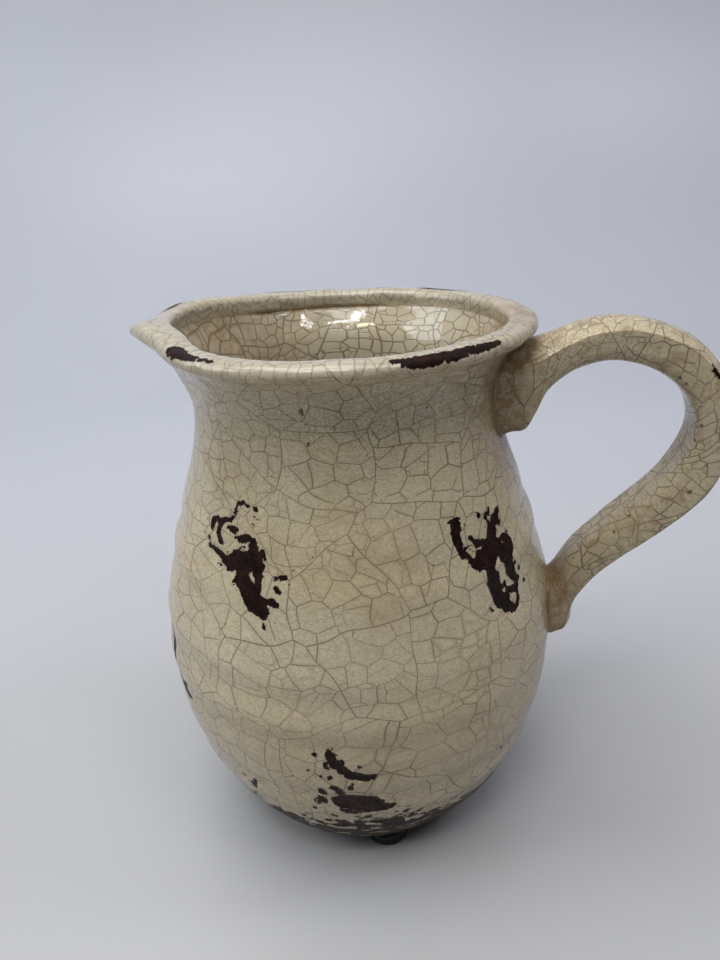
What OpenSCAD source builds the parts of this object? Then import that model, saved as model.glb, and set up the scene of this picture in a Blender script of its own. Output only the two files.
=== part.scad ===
// Glazed ceramic pitcher: a thrown belly with a pulled pouring lip, an applied strap handle
// luted on with slip at both ends, and four stick-on rubber feet under the base.
// Millimetres. X runs from the lip (-X) to the handle (+X), Z is up, and the feet stand on Z = 0.

/* [Body] */
// Height of the clay from its base to the rim
body_h = 183.6; // [160:0.2:205]
// Diameter across the belly
belly_d = 139.8; // [120:0.2:155]
// Diameter of the waist below the rim
neck_d = 100.4; // [90:0.2:112]
// Diameter over the rolled rim
rim_d = 124; // [116:0.5:132]
// Diameter of the flat base
base_d = 84; // [76:0.5:96]
// Thickness of the thrown wall
wall = 5.8; // [4.5:0.1:7]
// Thickness of the floor inside
floor_t = 6; // [5:0.5:9]
// Width of the rolled rim, across the top
rim_w = 9.6; // [8:0.1:11]
// Height of the rolled rim bead
rim_h = 7.6; // [6:0.1:9]

/* [Pouring lip] */
// How far the outside of the rim is pulled out to make the lip
lip_pull = 9.2; // [6:0.2:12]
// How far the inside of the rim goes with it
lip_inner_pull = 2.4; // [1:0.2:5]
// Half angle over which the pull fades away
lip_fade = 20; // [14:0.5:26]
// How far the rim is pinched in on each side of the lip
lip_pinch = 3; // [0:0.2:4]
// Height at which the pull starts, above the base
lip_start = 154; // [140:1:160]
// How much the rim rises beside the lip
shoulder_rise = 4; // [0:0.2:5]
// How much the outside of the lip dips at its tip
tip_dip = 4.8; // [0:0.2:6]

/* [Handle] */
// Distance from the vessel's axis to the outside of the handle
handle_reach = 123.6; // [114:0.2:130]
// Width of the strap along its middle
strap_w = 21; // [17:0.5:24]
// Thickness of the bed of slip at each root
slip_t = 0.8; // [0.5:0.1:1.2]
// How far the slip squeezes out around a root
slip_bead = 0.8; // [0.4:0.1:1.4]

/* [Feet] */
// Number of rubber feet
foot_count = 4; // [3:1:4]
// Diameter of a rubber foot
foot_d = 15.9; // [12.7:0.1:16.4]
// Height of a rubber foot, without its adhesive
foot_h = 3; // [2:0.1:4]
// Thickness of the adhesive under a foot
glue_t = 0.4; // [0.3:0.1:0.8]
// Radius of the circle that the feet sit on
foot_ring = 35.8; // [30:0.2:36.8]
// Angle of the first foot from the handle
foot_turn = -71; // [-80:1:-50]

/* [Hidden] */
$fn = 96;

base_z = foot_h + glue_t;
rim_z = base_z + body_h;
base_r = base_d / 2;
belly_r = belly_d / 2;
neck_r = neck_d / 2;
rim_r = rim_d / 2;
lip_reach = rim_r + lip_pull;
vessel_x = (lip_reach - handle_reach) / 2; // puts the middle of the whole length at X = 0

segs = 80;         // sides round the vessel
crowding = 0.4;    // how much closer together those sides are at the lip
turns = 2;         // steps between two control points of a profile
strap_sides = 28;  // sides round the strap
strap_steps = 3;   // steps between two stations of the strap

// Control points of the outside: [share of the clay's height, share of the way between two radii]
foot_curve = [[0.008, 0], [0.047, 0.235], [0.135, 0.61], [0.243, 0.867], [0.363, 0.998]]; // base to belly
shoulder_curve = [[0.483, 0.965], [0.592, 0.72], [0.69, 0.438], [0.777, 0.158], [0.853, 0]]; // neck to belly
flare_curve = [[0.919, 0.12], [0.957, 0.42]]; // neck to rim

// The strap, one row a station from the upper root to the lower one:
// [outer face X, Z, inner face X, Z, width as a share of strap_w], X from the vessel's axis, Z from the table
strap = [
    [44, 175.5, 44, 150, 1.14],
    [53, 177.5, 52, 148.8, 1.18],
    [59, 179, 57, 149.3, 1.17],
    [65.5, 180.6, 60.2, 155, 1.12],
    [72.5, 183.2, 64.6, 163.6, 1.06],
    [80, 185.2, 73.2, 170.3, 1.03],
    [89, 185.4, 84, 172.9, 1],
    [98, 183.4, 94, 170.8, 1],
    [107, 179.4, 101.5, 166.6, 1],
    [115, 172.4, 107, 160.8, 1],
    [121, 163, 109.6, 154, 1],
    [123.6, 152.5, 109.9, 148.5, 1],
    [122.8, 141, 108.4, 143.2, 1],
    [117.6, 128.5, 104.3, 135.6, 1],
    [107, 117, 97, 126.5, 0.99],
    [95, 107, 86.5, 116.2, 0.98],
    [86, 98.4, 76.8, 105.4, 0.96],
    [80.5, 89.8, 70.5, 94.5, 0.92],
    [77.4, 81.2, 66, 84, 0.84],
    [75.8, 74.8, 63, 77, 0.72],
    [73, 70.4, 60, 72, 0.52],
    [66, 69, 58, 70.5, 0.3]];

// A smooth curve through the points p, n steps between each two
function at(p, i) = i < 0 ? 2 * p[0] - p[1] : i >= len(p) ? 2 * p[len(p) - 1] - p[len(p) - 2] : p[i];
function blend(a, b, c, d, t) =
    (2 * b + (c - a) * t + (2 * a - 5 * b + 4 * c - d) * pow(t, 2) + (3 * b - a - 3 * c + d) * pow(t, 3)) / 2;
function curve(p, n) = [
    for (i = [0:len(p) - 2], k = [0:n - 1]) blend(at(p, i - 1), p[i], p[i + 1], at(p, i + 2), k / n),
    p[len(p) - 1]];

// The outside of the wall from the base edge to just under the rim, as [radius, Z]
outside = curve(concat(
    [for (c = foot_curve) [base_r + c[1] * (belly_r - base_r), base_z + c[0] * body_h]],
    [for (c = shoulder_curve) [neck_r + c[1] * (belly_r - neck_r), base_z + c[0] * body_h]],
    [for (c = flare_curve) [neck_r + c[1] * (rim_r - neck_r), base_z + c[0] * body_h]]), turns);

// The same curve moved sideways by d along its own normal
function moved(p, d) = [for (i = [0:len(p) - 1])
    let (t = at(p, i + 1) - at(p, i - 1), n = [t[1], -t[0]] / norm(t)) p[i] + d * n];

// Half of the wall's section, from the middle of the base up the outside, over the rim and down the inside,
// as [radius, Z, share], where share runs from 1 on the outside of the wall to 0 on its inside
inside = moved([for (p = outside) if (p[1] > base_z + 2 * floor_t && p[1] < rim_z - 12) p], -wall);
section = concat(
    [[base_r - 1, base_z, 1], [base_r - 0.4, base_z + 0.3, 1]],
    [for (p = outside) [p[0], p[1], 1]],
    [for (a = [-30:15:210])
        [rim_r - rim_w / 2 + rim_w / 2 * cos(a), rim_z - rim_h / 2 + rim_h / 2 * sin(a), (1 + cos(a)) / 2]],
    [for (i = [1:len(inside)]) let (p = inside[len(inside) - i]) [p[0], p[1], 0]],
    [[base_r - 6, base_z + floor_t + 2, 0], [base_r - 14, base_z + floor_t + 0.4, 0]]);

// A point p of the section turned to angle a, with the lip pulled out of the round at 180 degrees
function ease(t) = let (u = min(max(t, 0), 1)) u * u * (3 - 2 * u);
function bump(off, middle, width) = exp(-pow((off - middle) / width, 2));
function pulled(p, a) =
    let (off = abs(180 - a), w = ease((p[1] - base_z - lip_start) / (body_h - lip_start)),
         crease = exp(-(sqrt(off * off + 20) - sqrt(20)) / lip_fade),
         pull = lip_inner_pull + (lip_pull - lip_inner_pull) * p[2],
         r = p[0] + w * (pull * crease - lip_pinch * bump(off, 35, 15)),
         dip = (tip_dip + 1) * p[2] - 1,
         lift = shoulder_rise * bump(off, 15, 34) - dip * bump(off, 0, 11))
    [r * cos(a), r * sin(a), p[1] + pow(w, 3) * lift];
function side(i) = 360 * i / segs + crowding * 180 / PI * sin(360 * i / segs);

// A closed skin over rings of n points each, with a point in the middle of both ends
module skin(rings, first, last) {
    n = len(rings[0]);
    m = len(rings);
    points = concat([first], [for (ring = rings, p = ring) p], [last]);
    walls = [for (k = [0:m - 2], i = [0:n - 1])
        let (a = 1 + k * n + i, b = 1 + k * n + (i + 1) % n) each [[a, a + n, b + n], [a, b + n, b]]];
    start = [for (i = [0:n - 1]) [0, 1 + i, 1 + (i + 1) % n]];
    end = [for (i = [0:n - 1]) [m * n + 1, 1 + (m - 1) * n + (i + 1) % n, 1 + (m - 1) * n + i]];
    polyhedron(points, concat(start, walls, end), convexity = 6);
}

// The strap's section: a crowned outer face (+), a flatter inner face (-), round edges
function power(v, e) = sign(v) * pow(abs(v), e);
function strap_ring(s, grow) = [for (i = [0:strap_sides - 1])
    let (a = 360 * i / strap_sides, e = a < 180 ? 2 / 2.3 : 2 / 3.2,
         u = power(cos(a), e), v = power(sin(a), e),
         mid = [s[0] + s[2], s[1] + s[3]] / 2, out = [s[0] - s[2], s[1] - s[3]] / 2,
         p = mid + out * v * (1 + grow / norm(out)))
    [p[0], u * (strap_w / 2 * s[4] + grow), p[1]]];

module strap_solid(grow = 0) {
    fit = handle_reach / 123.6;
    stations = curve([for (s = strap) [s[0] * fit, s[1], s[2] * fit, s[3], s[4]]], strap_steps);
    rings = [for (s = stations) strap_ring(s, grow)];
    middles = [for (s = [stations[0], stations[len(stations) - 1]]) [(s[0] + s[2]) / 2, 0, (s[1] + s[3]) / 2]];
    skin(rings, middles[0], middles[1]);
}

// Everything inside the vessel's outer wall, grown by d
module filled_vessel(d) {
    wall_line = moved(outside, d);
    rotate_extrude() polygon(concat([[0, base_z]], wall_line, [[0, wall_line[len(wall_line) - 1][1]]]));
}

module vessel() {
    color("ivory") translate([vessel_x, 0, 0])
        skin([for (p = section) [for (i = [0:segs - 1]) pulled(p, side(i))]],
             [0, 0, base_z], [0, 0, base_z + floor_t]);
}

module handle() {
    color("wheat") translate([vessel_x, 0, 0]) difference() {
        strap_solid();
        filled_vessel(slip_t);
    }
}

// The slip between a root and the wall, z0 to z1
module slip_bed(z0, z1) {
    color("peru") translate([vessel_x, 0, 0]) difference() {
        intersection() {
            strap_solid(slip_bead);
            filled_vessel(slip_t);
            translate([40, -30, z0]) cube([60, 60, z1 - z0]);
        }
        filled_vessel(0);
    }
}

module upper_slip_joint() slip_bed(130, rim_z);
module lower_slip_joint() slip_bed(40, 130);

module at_foot(k) {
    translate([vessel_x, 0, 0]) rotate([0, 0, foot_turn + 360 / foot_count * k]) translate([foot_ring, 0, 0])
        children();
}

// A rubber foot, its edge rounded where it meets the table
module foot(k) {
    edge = 1;
    color("black") at_foot(k) rotate_extrude()
        polygon(concat([[0, 0]],
            [for (a = [-90:15:0]) [foot_d / 2 - edge + edge * cos(a), edge + edge * sin(a)]],
            [[foot_d / 2 - 0.2, foot_h], [0, foot_h]]));
}

module adhesive(k) {
    color("gray") at_foot(k) translate([0, 0, foot_h]) cylinder(d = foot_d - 0.4, h = glue_t);
}

module foot_front() foot(0);
module foot_right() foot(1);
module foot_back() foot(2);
module foot_left() foot(3);
module adhesive_front() adhesive(0);
module adhesive_right() adhesive(1);
module adhesive_back() adhesive(2);
module adhesive_left() adhesive(3);

vessel();
handle();
upper_slip_joint();
lower_slip_joint();
foot_front();
foot_right();
foot_back();
foot_left();
adhesive_front();
adhesive_right();
adhesive_back();
adhesive_left();
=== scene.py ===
"""A cream crackle-glazed pitcher with worn patches, on a pale floor.

Lengths are in millimetres until a mesh is made.
"""
import math

import bpy
import numpy as np
from mathutils import Matrix, Vector


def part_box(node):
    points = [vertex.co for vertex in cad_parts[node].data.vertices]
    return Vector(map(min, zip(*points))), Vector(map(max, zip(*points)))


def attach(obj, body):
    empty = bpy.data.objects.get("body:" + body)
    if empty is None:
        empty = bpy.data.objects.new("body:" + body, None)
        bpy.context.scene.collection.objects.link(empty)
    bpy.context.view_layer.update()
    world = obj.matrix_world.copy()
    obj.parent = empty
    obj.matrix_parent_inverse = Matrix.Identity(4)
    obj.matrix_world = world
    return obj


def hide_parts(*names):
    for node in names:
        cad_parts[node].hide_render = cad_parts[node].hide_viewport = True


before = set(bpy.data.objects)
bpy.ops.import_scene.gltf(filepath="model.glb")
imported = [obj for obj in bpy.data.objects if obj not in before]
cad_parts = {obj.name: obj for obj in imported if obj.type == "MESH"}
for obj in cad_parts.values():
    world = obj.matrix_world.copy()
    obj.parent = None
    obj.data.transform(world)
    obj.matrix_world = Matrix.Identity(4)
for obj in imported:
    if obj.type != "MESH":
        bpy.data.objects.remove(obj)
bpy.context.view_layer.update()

AXIS_X = -26.2       # the vessel's own axis, in X
BASE_Z = 3.4         # underside of the clay
RIM_Z = 187.0        # rim, where it is round
WALL = 5.8

# Outside of the wall: radius and height
WALL_LINE = [(42.0, 4.9), (48.5, 12.0), (59.0, 28.2), (66.2, 48.0), (69.9, 70.0), (69.2, 92.1), (64.4, 112.1),
             (58.8, 130.1), (53.3, 146.1), (50.2, 160.0), (51.6, 172.1), (55.2, 179.1)]
LIP_R, LIP_HALF_W, LIP_HALF_H = 57.2, 4.8, 3.8
LIP_Z = RIM_Z - LIP_HALF_H


# ---------------------------------------------------------------- curves

def spline(points, steps=12, closed=False):
    """A smooth curve through the points."""
    p = np.array(points, float)
    if closed:
        q = np.vstack([p[-1:], p, p[:2]])
    else:
        q = np.vstack([2 * p[0] - p[1], p, 2 * p[-1] - p[-2]])
    t = (np.arange(steps) / steps)[:, None]
    out = []
    for i in range(1, len(q) - 2):
        a, b, c, d = q[i - 1:i + 3]
        square, cube = 2 * a - 5 * b + 4 * c - d, 3 * b - a - 3 * c + d
        out.append((2 * b + (c - a) * t + square * t ** 2 + cube * t ** 3) / 2)
    if not closed:
        out.append(p[-1:])
    return np.vstack(out)


def spaced(line, gap):
    """The same line with its points a constant distance apart."""
    run = np.concatenate([[0], np.cumsum(np.linalg.norm(np.diff(line, axis=0), axis=1))])
    n = max(2, int(round(run[-1] / gap)) + 1)
    at = np.linspace(0, run[-1], n)
    return np.stack([np.interp(at, run, line[:, k]) for k in range(line.shape[1])], 1)


def normals_of(line):
    t = np.gradient(line, axis=0)
    t /= np.linalg.norm(t, axis=1)[:, None]
    return np.stack([t[:, 1], -t[:, 0]], 1)


WALL_CURVE = spline(WALL_LINE, 16)


def wall_radius(z):
    return np.interp(z, WALL_CURVE[:, 1], WALL_CURVE[:, 0])


def lip_point(arc):
    """A point of the rolled rim's section; arc 0 faces outwards, 90 up and 180 inwards, in degrees."""
    c, s = np.cos(np.radians(arc)), np.sin(np.radians(arc))
    k = 2 / 3.1
    return np.stack([LIP_R + LIP_HALF_W * np.sign(c) * np.abs(c) ** k,
                     LIP_Z + LIP_HALF_H * np.sign(s) * np.abs(s) ** k],
                    -1)


def pull(r, z, share, az):
    """Turns a round point to angle az, in degrees from the handle, and pulls the lip out of it at 180."""
    off = np.abs((np.asarray(az) + 360) % 360 - 180)
    w = np.clip((z - 157) / 30, 0, 1)
    w = w * w * (3 - 2 * w)
    crease = np.exp(-(np.sqrt(off * off + 20) - math.sqrt(20)) / 20)
    reach = r + w * ((2.4 + 6.8 * share) * crease - 3 * np.exp(-((off - 35) / 15) ** 2))
    lift = 4 * np.exp(-((off - 15) / 34) ** 2) - (5.8 * share - 1) * np.exp(-(off / 11) ** 2)
    a = np.radians(az)
    return np.stack([reach * np.cos(a) + AXIS_X, reach * np.sin(a), z + w ** 3 * lift], -1)


def lumps(p, size, seed, count=7):
    """Smooth hand-made unevenness, about -1 to 1."""
    rng = np.random.default_rng(seed)
    out = 0
    for _ in range(count):
        d = rng.normal(size=3)
        d *= (0.7 + 0.6 * rng.random()) * 2 * math.pi / size / np.linalg.norm(d)
        out = out + np.sin(p @ d + rng.random() * 6.28)
    return out / math.sqrt(count)


# ---------------------------------------------------------------- worn patches
# Each stroke is a brush mark of bare dark clay: [(angle, height, half width), ...] along its middle.

STROKES = [
    # patch on the left of the front
    [(-115.8, 127.2, 2.6), (-112.8, 127.4, 3.2), (-110.5, 127.5, 2.2)],
    [(-109.7, 134.0, 0.7), (-109.3, 130.5, 1.8), (-108.0, 127.5, 2.1), (-107.6, 124.2, 1.3)],
    [(-113.4, 122.6, 2.0), (-110.6, 120.2, 2.6), (-108.0, 117.0, 3.2), (-105.4, 114.6, 1.6)],
    [(-107.8, 120.8, 1.9), (-108.5, 119.0, 2.0)],
    [(-114.0, 125.0, 1.6), (-113.0, 123.5, 1.6)],
    [(-127.0, 128.5, 0.6), (-123.0, 127.8, 0.9), (-120.0, 126.6, 1.2), (-117.5, 125.6, 1.9)],
    [(-116.0, 133.8, 0.7), (-113.3, 134.0, 1.2), (-111.4, 135.1, 0.5)],
    [(-120.0, 136.0, 0.6), (-117.0, 135.5, 0.9)],
    [(-127.3, 134.0, 0.8), (-126.8, 136.2, 0.8), (-125.2, 136.8, 0.6), (-124.0, 136.0, 1.0),
     (-123.5, 133.0, 1.0),
     (-122.0, 131.2, 0.8)],
    [(-124.0, 136.8, 0.5), (-121.5, 137.5, 0.5), (-119.5, 138.2, 0.7), (-118.0, 139.8, 0.5),
     (-117.6, 141.8, 0.4),
     (-116.5, 143.0, 0.6), (-115.0, 143.6, 0.5)],
    [(-106.7, 131.2, 0.8), (-106.0, 129.8, 0.5)],
    [(-104.9, 117.4, 0.6), (-103.0, 117.8, 1.0), (-101.7, 117.5, 0.6)],
    [(-101.8, 122.0, 0.6), (-100.8, 121.0, 0.5)],
    [(-102.0, 124.4, 0.4), (-99.4, 125.4, 0.5)],
    [(-128.2, 130.7, 0.6)], [(-113.2, 143.0, 0.5)], [(-110.2, 142.8, 0.5)], [(-110.6, 138.4, 0.5)],
    [(-105.0, 110.5, 0.4)],
    # patch on the right of the front
    [(-48.2, 136.2, 0.6), (-49.0, 134.0, 1.6), (-49.3, 131.5, 1.3), (-48.8, 128.5, 1.2), (-48.0, 126.4, 1.0),
     (-46.4, 124.8, 0.7), (-44.8, 122.5, 1.2), (-43.0, 120.8, 1.4)],
    [(-44.3, 129.6, 0.5), (-42.5, 127.6, 0.9), (-40.5, 126.6, 1.0), (-38.0, 126.2, 1.2)],
    [(-42.0, 123.0, 2.1), (-39.0, 122.6, 3.3), (-36.6, 124.4, 2.6), (-35.6, 128.4, 1.6), (-35.8, 131.4, 0.7)],
    [(-34.6, 128.8, 1.6), (-33.0, 131.4, 1.6), (-31.5, 132.9, 0.8), (-30.0, 133.2, 0.5)],
    [(-32.2, 130.8, 1.1), (-31.4, 129.4, 0.8)],
    [(-37.0, 133.2, 0.5), (-35.8, 134.0, 0.6), (-34.8, 134.8, 0.4)],
    [(-34.6, 124.6, 1.6), (-33.0, 120.6, 2.6), (-31.6, 118.0, 2.4), (-31.5, 114.6, 2.2), (-30.0, 111.8, 1.2),
     (-28.4, 110.2, 0.5)],
    [(-30.9, 125.0, 0.9), (-29.4, 123.4, 1.7), (-28.4, 121.8, 1.3), (-30.6, 120.0, 1.8)],
    [(-29.8, 115.6, 0.7), (-28.4, 116.0, 0.5)],
    [(-39.8, 119.2, 1.7), (-40.0, 115.0, 1.8), (-39.3, 110.6, 2.0), (-38.0, 107.2, 1.8), (-35.6, 104.8, 1.5),
     (-33.5, 103.4, 1.1), (-32.0, 103.8, 0.7), (-31.2, 105.6, 0.5), (-30.2, 107.3, 0.5)],
    [(-38.0, 116.0, 0.8), (-37.6, 112.0, 1.0), (-37.0, 109.2, 1.1), (-35.4, 107.6, 0.9)],
    [(-34.5, 110.0, 0.8), (-33.0, 109.1, 1.0), (-31.0, 108.8, 0.9), (-29.4, 109.6, 0.5)],
    [(-36.0, 111.5, 0.6), (-35.0, 112.8, 0.5)],
    [(-39.6, 134.9, 0.6)], [(-45.5, 134.2, 0.4)], [(-27.3, 113.2, 0.5)], [(-26.0, 108.5, 0.5)],
    # low on the front
    [(-89.3, 71.6, 0.9), (-89.0, 69.6, 1.3), (-88.0, 66.8, 1.5), (-86.5, 64.4, 1.6), (-84.5, 62.0, 1.7),
     (-81.5, 60.8, 1.3), (-79.0, 60.5, 0.9), (-78.2, 61.2, 0.6)],
    [(-90.4, 66.6, 0.6), (-90.2, 65.0, 0.5)], [(-86.0, 67.4, 0.8)],
    [(-93.0, 70.0, 0.6)], [(-81.8, 65.8, 0.5)], [(-89.8, 60.5, 0.6)], [(-95.2, 63.0, 0.4)],
    [(-92.0, 60.7, 0.4)],
    [(-89.0, 47.6, 1.9), (-86.5, 47.4, 3.6), (-83.0, 46.6, 4.2), (-80.0, 45.6, 4.3), (-78.0, 44.4, 2.6),
     (-75.0, 44.2, 1.4), (-73.4, 44.6, 0.7)],
    [(-92.8, 53.2, 1.1), (-92.4, 51.4, 1.0)],
    [(-94.2, 45.8, 0.6), (-93.8, 48.8, 0.7), (-92.6, 47.4, 1.0)],
    [(-89.0, 55.4, 1.2), (-88.0, 53.8, 1.1), (-87.6, 51.4, 1.0)],
    [(-84.8, 55.2, 0.5), (-84.6, 56.6, 0.6), (-83.8, 57.3, 0.4)],
    [(-88.0, 42.8, 0.8), (-84.5, 41.6, 1.0)],
    [(-96.0, 42.2, 0.9)], [(-91.5, 38.5, 0.6), (-90.3, 38.0, 0.6)], [(-81.3, 37.4, 0.8), (-80.2, 38.2, 0.7)],
    [(-69.7, 38.8, 0.8), (-68.6, 39.6, 0.6)], [(-65.3, 36.0, 0.6)], [(-60.2, 31.7, 0.8)],
    [(-93.3, 33.3, 0.9)],
    [(-57.8, 28.2, 0.7)], [(-72.6, 39.8, 0.4)], [(-83.9, 38.0, 0.5)],
    [(-89.2, 31.6, 1.5), (-87.4, 30.2, 1.6)],
    [(-84.0, 33.4, 0.9), (-83.6, 30.4, 1.7), (-82.6, 27.0, 2.0)],
    [(-79.6, 33.4, 0.8), (-77.2, 32.8, 1.7), (-75.0, 31.6, 1.6), (-75.5, 28.0, 1.0)],
    [(-71.8, 33.4, 1.3), (-71.3, 31.0, 1.9), (-70.0, 27.6, 1.5), (-68.5, 24.5, 1.2)],
    # far left
    [(-148.0, 92.0, 0.8), (-147.0, 88.0, 1.5), (-146.0, 84.0, 2.1), (-145.0, 80.5, 1.3)],
    [(-146.5, 79.0, 1.0), (-145.6, 76.0, 2.0), (-143.0, 72.6, 2.0), (-139.5, 70.2, 1.3), (-136.8, 69.8, 0.7)],
    [(-137.6, 75.0, 0.6), (-139.2, 73.6, 0.8)], [(-150.0, 72.5, 1.6), (-153.0, 66.0, 1.5)],
    [(-154.0, 58.0, 1.6), (-157.0, 54.0, 1.4)], [(-146.0, 84.0, 0.8)],
    [(-114.6, 47.4, 0.7), (-116.2, 43.0, 0.9)], [(-119.2, 46.8, 0.6)], [(-127.0, 56.0, 0.6)],
    [(-132.0, 30.0, 2.2), (-126.0, 27.0, 2.6), (-119.0, 25.0, 1.8)],
    [(-113.0, 31.0, 0.9), (-110.0, 28.0, 1.0)],
    # far right
    [(-42.0, 29.0, 1.6), (-36.0, 28.0, 1.9), (-30.0, 31.0, 1.2)], [(-49.0, 32.0, 0.9)], [(-37.0, 50.0, 0.6)],
]

# Chips on the rolled rim: [(angle, arc round the rim's section, half width), ...]
RIM_CHIPS = [
    [(-131.0, 62, 1.9), (-128.0, 60, 2.1), (-124.0, 58, 1.3), (-119.0, 62, 0.8), (-114.0, 64, 0.4)],
    [(-67.5, 62, 0.7), (-64.0, 56, 1.0), (-60.0, 50, 1.25), (-54.0, 48, 1.3), (-49.0, 48, 1.25),
     (-44.0, 47, 1.1),
     (-39.0, 47, 0.8), (-36.0, 48, 0.5)],
    [(-65.5, 34, 0.5), (-63.5, 26, 0.8), (-61.0, 20, 0.9), (-58.5, 22, 0.9), (-56.0, 26, 0.7)],
    [(-54.0, 27, 0.7), (-51.5, 28, 0.7)], [(-49.5, 31, 0.6), (-48.0, 31, 0.5)], [(-45.5, 32, 0.6)],
    [(-43.0, 33, 0.4)],
    [(131.0, 84, 0.4), (126.0, 80, 1.0), (118.0, 80, 1.0), (112.0, 84, 0.4)],
    [(68.0, 84, 0.4), (64.0, 80, 1.0), (56.0, 80, 1.0), (50.0, 84, 0.4)],
    [(172.5, 78, 0.6), (169.5, 80, 1.2), (166.0, 80, 0.8)],
    [(176.0, 30, 0.8), (179.0, 22, 0.7)],
    [(30.0, 60, 0.6), (26.0, 56, 1.0), (21.0, 60, 0.6)],
]

# Small brown seepage marks
BROWN_MARKS = [
    [(-92.6, 178.4, 0.42)], [(-92.9, 173.0, 0.62), (-92.6, 171.6, 0.60)], [(-92.3, 168.3, 0.36)],
    [(-92.2, 162.3, 0.62)],
    [(-94.4, 172.2, 0.40)], [(-74.0, 158.6, 0.36)], [(-73.0, 77.0, 0.45)], [(-72.0, 81.0, 0.5)],
    [(-91.5, 131.5, 0.4)],
    [(-58.0, 126.0, 0.45)], [(-54.0, 170.0, 0.45)], [(-112.0, 99.0, 0.4)], [(-63.0, 96.0, 0.38)],
    [(-46.0, 88.0, 0.45)],
]
SEEP_LINES = [[(-92.6, 178.4, 0.5), (-93.0, 172.0, 0.5), (-92.4, 167.0, 0.4), (-92.2, 162.0, 0.5)]]
# The same on the handle: a place near its skin in X, Y and Z, to the millimetre, and the half width
STRAP_MARKS = [(35, -11, 160, 0.3), (77, -10, 168, 0.4), (79, -10, 166, 0.3), (84, -8, 148, 0.3),
               (84, -10, 131, 0.5),
               (67, -8, 122, 0.3), (46, -6, 98, 0.3), (85, -9, 153, 0.3), (62, -10, 116, 0.2),
               (88, -6, 140, 0.3),
               (56, -9, 108, 0.2), (90, 6, 160, 0.4), (92, 4, 148, 0.3), (74, 8, 122, 0.3)]
STRAP_CHIP = [(86, -10, 172, 0.3), (87, -10, 170, 0.5), (88, -10, 168, 0.3)]

# Marks on the sides that the first ones don't reach
BACK_STROKES = [
    [(62.0, 121.0, 1.0), (64.0, 117.0, 2.6), (66.5, 112.0, 2.8), (69.5, 108.0, 1.6)],
    [(58.0, 124.0, 0.8), (60.0, 127.0, 1.1), (63.0, 129.0, 0.7)],
    [(71.0, 117.0, 0.8), (73.0, 114.0, 1.0)], [(58.5, 115.0, 0.6)], [(67.0, 103.0, 0.6)],
    [(132.0, 96.0, 1.0), (129.0, 91.0, 2.2), (127.0, 85.0, 2.6), (128.5, 79.0, 1.4)],
    [(134.0, 88.0, 0.7), (136.0, 84.0, 0.9)], [(124.0, 94.0, 0.6)],
    [(98.0, 50.0, 1.2), (94.0, 47.0, 2.4), (88.0, 46.0, 2.8), (83.0, 48.0, 1.2)],
    [(30.0, 58.0, 0.9), (33.0, 54.0, 1.8), (37.0, 51.0, 1.4)],
    [(158.0, 44.0, 1.0), (163.0, 41.0, 2.0), (169.0, 42.0, 1.2)],
]


def stroke_spheres(strokes, to_point):
    """Balls along every stroke: centres and radii."""
    centres, radii = [], []
    for s in strokes:
        s = np.array(s, float)
        if len(s) > 1:
            s = spline(s, 5)
            pts = to_point(s[:, 0], s[:, 1])
            s3 = spaced(np.column_stack([pts, s[:, 2]]), 0.4)
            centres.append(s3[:, :3])
            radii.append(s3[:, 3])
        else:
            centres.append(to_point(s[:, 0], s[:, 1]))
            radii.append(s[:, 2])
    return np.vstack(centres), np.concatenate(radii)


def on_wall(az, z):
    return pull(wall_radius(z), z, 1.0, az)


def on_lip(az, arc):
    p = lip_point(arc)
    return pull(p[:, 0], p[:, 1], (1 + np.cos(np.radians(arc))) / 2, az)


def on_skin(skin, marks):
    """The marks moved to the nearest point of the skin."""
    marks = np.array(marks, float)
    near = np.linalg.norm(skin[None] - marks[:, None, :3], axis=2).argmin(1)
    return np.column_stack([skin[near], marks[:, 3]])


def depth_inside(points, centres, radii):
    """How far each point is inside the nearest stroke, in mm; negative outside, down to -6."""
    out = np.full(len(points), -6.0)
    for i in range(0, len(centres), 40):
        c, r = centres[i:i + 40], radii[i:i + 40]
        lo, hi = c.min(0) - 7, c.max(0) + 7
        near = np.nonzero(((points > lo) & (points < hi)).all(1))[0]
        if len(near):
            d = np.linalg.norm(points[near, None] - c[None], axis=2)
            out[near] = np.maximum(out[near], (r[None] - d).max(1))
    return out


# ---------------------------------------------------------------- meshes

def grid_mesh(name, points, first=None, last=None, values=None):
    """A closed skin over rings of points; first and last are the points in the middle of its two ends."""
    rings, n = points.shape[:2]
    verts = [points.reshape(-1, 3)]
    base = rings * n
    i, j = np.meshgrid(np.arange(rings - 1), np.arange(n), indexing="ij")
    a, b = i * n + j, i * n + (j + 1) % n
    quads = np.stack([a, b, b + n, a + n], -1).reshape(-1, 4)
    faces = quads.tolist()
    if first is not None:
        verts.append(np.array([first]))
        faces += [[base, (k + 1) % n, k] for k in range(n)]
        base += 1
    if last is not None:
        verts.append(np.array([last]))
        o = (rings - 1) * n
        faces += [[base, o + k, o + (k + 1) % n] for k in range(n)]
    mesh = bpy.data.meshes.new(name)
    mesh.from_pydata((np.vstack(verts) * 0.001).tolist(), [], faces)
    mesh.update()
    for key, v in (values or {}).items():
        full = np.concatenate([v.reshape(-1), np.full(len(mesh.vertices) - v.size, v.reshape(-1)[-1])])
        mesh.attributes.new(key, "FLOAT", "POINT").data.foreach_set("value", full.astype(np.float32))
    mesh.shade_smooth()
    obj = bpy.data.objects.new(name, mesh)
    bpy.context.scene.collection.objects.link(obj)
    return obj


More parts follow.
